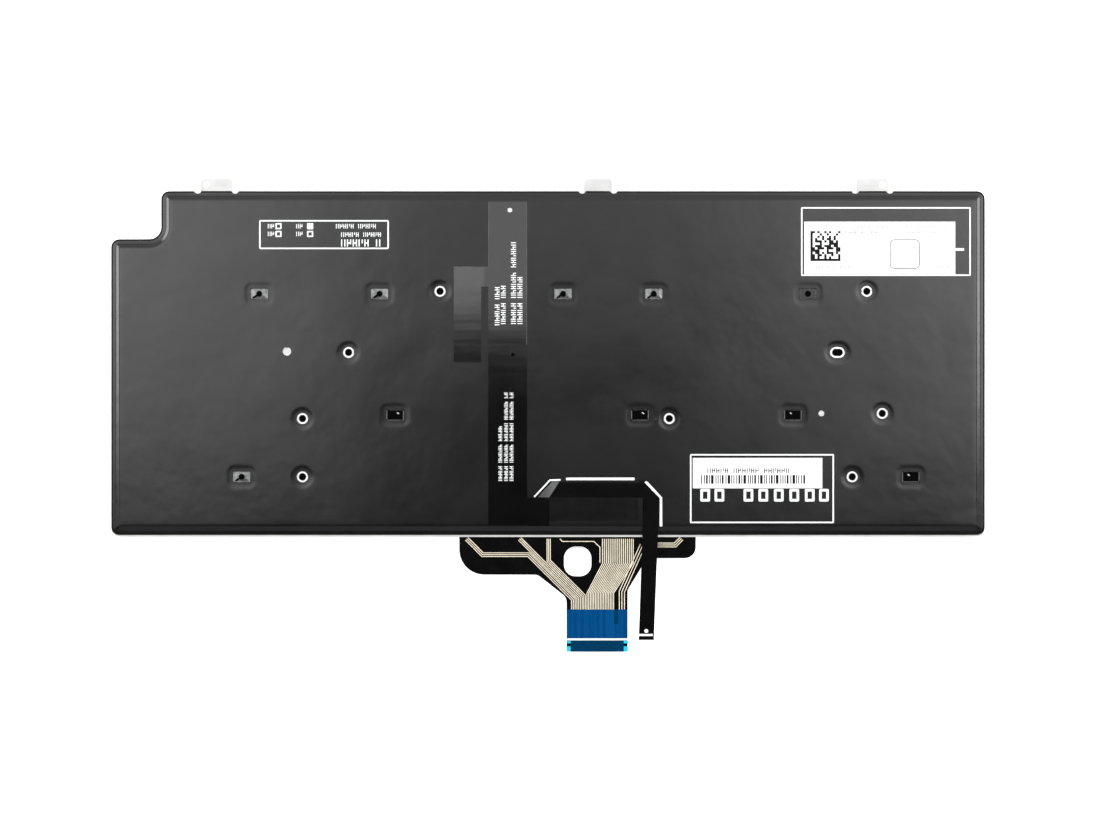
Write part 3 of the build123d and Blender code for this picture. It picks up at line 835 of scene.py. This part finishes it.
# Tail end, ribbon end and the fold
endPlates = {"line": (5.9, -85.66, 24.8, -85.04), "band": (7.0, -89.2, 23.5, -85.8),
             "ears": [(5.9, -89.2, 7.0, -87.5), (23.5, -89.2, 24.8, -87.5),
                      (5.9, -86.6, 7.0, -85.8), (23.5, -86.6, 24.8, -85.8)],
             "shade": (20.5, -80.6, 21.8, -76.1)}
flatMarks("tailLine", [endPlates["line"]], tailLevel, inkWhite)
flatMarks("tailBand", [endPlates["band"]], tailLevel, bandTeal)
flatMarks("tailEars", endPlates["ears"], tailLevel, earCyan)
# painted shade: a darker teal patch on the stiffener
flatMarks("tailShade", [endPlates["shade"]], stiffHigh.z, bandTeal)

flap = {"corners": [(-3.3, -41.3), (0.4, -41.3), (3.6, -36.3), (1.4, -36.3)], "thick": 0.02,
        "middle": (0, -38.6), "side": 2}
flapPiece = beginPiece("foldFlap")
addPlane(at(*flap["middle"], stripHigh.z), (flap["side"] * mm, flap["side"] * mm))
mesh = bmesh.from_edit_mesh(flapPiece.data)
mesh.faces.ensure_lookup_table()
for vert, corner in zip(mesh.faces[0].verts, flap["corners"]):
    vert.co = at(*corner, stripHigh.z)
bmesh.update_edit_mesh(flapPiece.data)
bpy.ops.mesh.normals_make_consistent(inside=False)
applied(flapPiece, "SOLIDIFY", thickness=flap["thick"] * mm, offset=1)
endPiece(flapPiece, flapGrey)

stripDot = {"place": (-10.9, 2.9), "radius": 0.55}
dots = beginPiece("stripDots")
addDisc(at(*stripDot["place"], runLevel), stripDot["radius"] * mm)
applied(dots, "SOLIDIFY", thickness=inkLift, offset=1)
endPiece(dots, holeBlack)

ribbonTip = {"dot": (30.45, -82.7), "radius": 0.6, "bar": (30.2, -83.95), "size": (4.5, 0.65)}
ribbonEnd = beginPiece("ribbonEnd")
addDisc(at(*ribbonTip["dot"], runLevel), ribbonTip["radius"] * mm)
addPlane(at(*ribbonTip["bar"], runLevel), [s * mm for s in ribbonTip["size"]])
applied(ribbonEnd, "SOLIDIFY", thickness=inkLift, offset=1)
endPiece(ribbonEnd, inkWhite)

# painted highlights: grey lines along the light strip's edges, lighter than the strip; the dark lines are
# painted shadow
edges = {"light": [[(-6.6, 50.2), (-6.6, 6.0)], [(-18.4, 50.2), (-18.4, 30.4)],
                   [(-29.1, 30.1), (-18.5, 30.1)]], "lightSize": (0.16, 0.02),
         "dark": [[(29.5, -41.8), (29.5, -52.4)], [(28.0, -36.3), (31.0, -36.3)],
                  [(-6.4, -49.9), (0.2, -49.9), (0.2, -42.0)]], "darkSize": (0.3, 0.06)}  # width, thickness
drawLines("stripEdges", edges["light"], edges["lightSize"][0], runLevel, edges["lightSize"][1], edgeGrey)
drawLines("ribbonShade", edges["dark"], edges["darkSize"][0], backLevel, edges["darkSize"][1], holeBlack)
markShape = (rightPrint["markLine"], rightPrint["markCorner"])
printedFrame("labelFrame", *rightPrint["mark"], *markShape, labelHigh.z, inkBlack)
print("prints made")

# What shows in the windows and the holes
pressing = {"size": (5.0, 3.05), "inset": 0.95, "rise": 0.17, "hole": 0.95, "cut": 0.62, "floor": 0.5,
            "bright": [(-89.49, 21.75), (-52.2, 21.75), (4.66, 21.75), (32.8, 21.75), (-94.94, -34.95)],
            "black": [(-47.4, -15.8), (28.5, -15.8), (75.9, -15.8), (112.45, -34.95)],
            "film": [(80.56, 21.75)], "thick": 0.1, "skin": 0.02, "cutReach": (-1.9, -1.25), "cutThick": 0.03,
            "hooks": [(0.6, 1.2), (0.6, 1.3), (-0.9, -0.4), (-1.0, -0.4)], "hookY": (0.8, 0.35), "hook": 0.34,
            "ring": 1.66, "bore": 1.15, "slot": 1.1, "lift": 0.05, "well": 1.6}
floorLevel = backLevel - pressing["floor"] * mm
pressTopLevel = floorLevel + (pressing["rise"] + pressing["skin"]) * mm
# painted shade: the window pressings use a darker copy of the plate's metal
pressings = beginPiece("windowPressings")
for x, y in pressing["bright"]:
    addPlane(at(x, y, floorLevel), [s * mm for s in pressing["size"]])
    bpy.ops.mesh.inset(thickness=pressing["inset"] * mm)
    bpy.ops.transform.translate(value=(0, 0, pressing["rise"] * mm))
applied(pressings, "SOLIDIFY", thickness=pressing["thick"] * mm, offset=-1)
endPiece(pressings, pressingGrey)
# painted shade: dull black floors in the darker windows, and dull black discs in the pressings' holes and at
# the foot of the screw and slot holes
shades = beginPiece("windowShades")
for x, y in pressing["black"]:
    addPlane(at(x, y, floorLevel), [s * mm for s in pressing["size"]])
for x, y in pressing["bright"] + pressing["film"]:
    addDisc(at(x, y, pressTopLevel), pressing["hole"] * mm)
for x, y in film["screws"] + film["slots"]:
    addDisc(at(x, y, tailLevel + pressing["skin"] * mm), pressing["well"] * mm)
applied(shades, "SOLIDIFY", thickness=pressing["skin"] * mm, offset=-1)
endPiece(shades, holeBlack)
rings = beginPiece("screwRings")  # pressed round the holes of the plate, in a brighter copy of the plate's metal: a painted highlight
for x, y in film["screws"] + film["slots"]:
    long = pressing["slot"] if (x, y) in film["slots"] else 0
    size = ((2 * pressing["ring"] + long) * mm, 2 * pressing["ring"] * mm)
    addRounded(at(x, y, plateLevel), size, 0.998 * pressing["ring"] * mm, 8)
    bpy.ops.mesh.inset(thickness=(pressing["ring"] - pressing["bore"]) * mm)
    bpy.ops.mesh.delete(type="FACE")
applied(rings, "SOLIDIFY", thickness=pressing["lift"] * mm, offset=1)
endPiece(rings, ringBright)
# painted shade: a dull black line from each bright pressing's centre towards its lower left, for the dark
# crease between its faces
reachX, reachY = pressing["cutReach"]
creaseShades = [[(x + reachX, y + reachY), (x, y)] for x, y in pressing["bright"]]
drawLines("windowCuts", creaseShades, pressing["cut"], pressTopLevel, pressing["cutThick"], holeBlack)
startY, stopY = pressing["hookY"]
hooks = []
for (x, y), (start, stop) in zip(pressing["black"], pressing["hooks"]):
    hooks.append([(x + start, y + startY), (x + stop, y + stopY)])
hookLevel = floorLevel + pressing["skin"] * mm
drawLines("windowHooks", hooks, pressing["hook"], hookLevel, pressing["cutThick"], plateBright)
patch = beginPiece("windowPatch")
for x, y in pressing["film"]:
    addPlane(at(x, y, floorLevel + pressing["rise"] * mm), [s * mm for s in pressing["size"]])
applied(patch, "SOLIDIFY", thickness=pressing["thick"] * mm, offset=-1)
endPiece(patch, filmBlack)
print("windows filled")

# Camera, straight above
view = {"width": 340.8, "distance": 1.25, "sensor": 36, "middle": (0.62, -14.87)}
bpy.ops.object.camera_add(location=at(*view["middle"], backLevel + view["distance"]), rotation=(0, 0, 0))
camera = bpy.context.object
camera.data.sensor_width = view["sensor"]
camera.data.lens = view["sensor"] * view["distance"] / (view["width"] * mm)
camera.data.clip_end = 20
bpy.context.scene.camera = camera
bpy.context.scene.view_settings.view_transform = "Standard"

# Pale floor and soft studio light
floor = {"size": 4.0, "colour": (0.9, 0.9, 0.9), "glow": 0.8}
bpy.ops.object.select_all(action="DESELECT")
bpy.ops.mesh.primitive_plane_add(size=floor["size"], location=(0, 0, cadBox[0].z))
ground = bpy.context.object
ground.name = "floor"
paper = bpy.data.materials.new("floorPaper")
paper.use_nodes = True
nodes, links = paper.node_tree.nodes, paper.node_tree.links
nodes["Principled BSDF"].inputs["Base Color"].default_value = (*floor["colour"], 1)
nodes["Principled BSDF"].inputs["Roughness"].default_value = 0.9
glow = nodes.new("ShaderNodeEmission")
glow.inputs["Color"].default_value = (1, 1, 1, 1)
path = nodes.new("ShaderNodeLightPath")
seen = nodes.new("ShaderNodeMath")
seen.operation = "MAXIMUM"
links.new(path.outputs["Is Camera Ray"], seen.inputs[0])
links.new(path.outputs["Is Glossy Ray"], seen.inputs[1])
level = nodes.new("ShaderNodeMath")
level.operation = "MULTIPLY"
level.inputs[1].default_value = floor["glow"]
links.new(seen.outputs[0], level.inputs[0])
links.new(level.outputs[0], glow.inputs["Strength"])
both = nodes.new("ShaderNodeAddShader")
links.new(nodes["Principled BSDF"].outputs[0], both.inputs[0])
links.new(glow.outputs[0], both.inputs[1])
links.new(both.outputs[0], nodes["Material Output"].inputs["Surface"])
ground.data.materials.append(paper)

world = bpy.data.worlds.new("studio")
bpy.context.scene.world = world
world.use_nodes = True
nodes, links = world.node_tree.nodes, world.node_tree.links
path = nodes.new("ShaderNodeLightPath")
coords = nodes.new("ShaderNodeTexCoord")
parts = nodes.new("ShaderNodeSeparateXYZ")
links.new(coords.outputs["Generated"], parts.inputs["Vector"])
dim = nodes.new("ShaderNodeMapRange")  # dark overhead, paler low down
dim.inputs["From Max"].default_value = 0.55
dim.inputs["To Min"].default_value = 0.35
dim.inputs["To Max"].default_value = 0.03
links.new(parts.outputs["Z"], dim.inputs["Value"])
level = nodes.new("ShaderNodeMath")  # white to the camera
level.operation = "MAXIMUM"
links.new(path.outputs["Is Camera Ray"], level.inputs[0])
links.new(dim.outputs["Result"], level.inputs[1])
links.new(level.outputs[0], nodes["Background"].inputs["Strength"])
nodes["Background"].inputs["Color"].default_value = (1, 1, 1, 1)

ceiling = {"columns": (-0.82, -0.55, -0.28, -0.13, 0.13, 0.28, 0.55, 0.82), "height": 1.33, "rows": {
    "front": (-0.05, 0.08, (1.6, 2.8, 2.6, 0, 1.6, 3.8, 1.6)),
    "middle": (0.08, 0.25, (2.6, 4.3, 3.1, 1.3, 3.0, 4.7, 2.6)),
    "rear": (0.25, 0.8, (1.7, 1.7, 1.6, 1.1, 1.6, 1.7, 1.7)),
}}
softboxes = {"topMiddle": {"place": (0.0, 0.0675, 1.33), "size": (0.26, 0.025), "glow": 1.5}}
for row, (low, high, glows) in ceiling["rows"].items():
    for i, glow in enumerate(glows):
        left, right = ceiling["columns"][i:i + 2]
        if glow:
            place = ((left + right) / 2, (low + high) / 2, ceiling["height"])
            panel = {"place": place, "size": (right - left, high - low), "glow": glow}
            softboxes["%sPanel%d" % (row, i + 1)] = panel
softboxes.update({
    "rear": {"place": (0.0, 0.95, 0.95), "size": (1.6, 0.5), "glow": 1.4, "aim": True},
    "front": {"place": (0.0, -0.62, 1.15), "size": (1.2, 0.6), "glow": 0.5, "aim": True},
    "sideLeft": {"place": (-0.97, 0.34, 1.05), "size": (0.7, 0.45), "glow": 9.5, "aim": True},
    "sideRight": {"place": (0.97, 0.34, 1.05), "size": (0.7, 0.45), "glow": 9.5, "aim": True},
    "lowLeft": {"place": (-1.1, -0.1, 0.5), "size": (0.9, 0.3), "glow": 8.5, "aim": True},
    "lowRight": {"place": (1.1, -0.1, 0.5), "size": (0.9, 0.3), "glow": 8.5, "aim": True},
})
for name, box in softboxes.items():
    bpy.ops.object.light_add(type="AREA", location=box["place"])
    lamp = bpy.context.object
    lamp.name = name
    lamp.data.shape = "RECTANGLE"
    lamp.data.size, lamp.data.size_y = box["size"]
    lamp.data.energy = pi * box["size"][0] * box["size"][1] * box["glow"]
    if "aim" in box:
        aim = Vector((0, boardY, 0)) - lamp.location
        lamp.rotation_euler = aim.to_track_quat("-Z", "Y").to_euler()
print("camera, floor and light set")
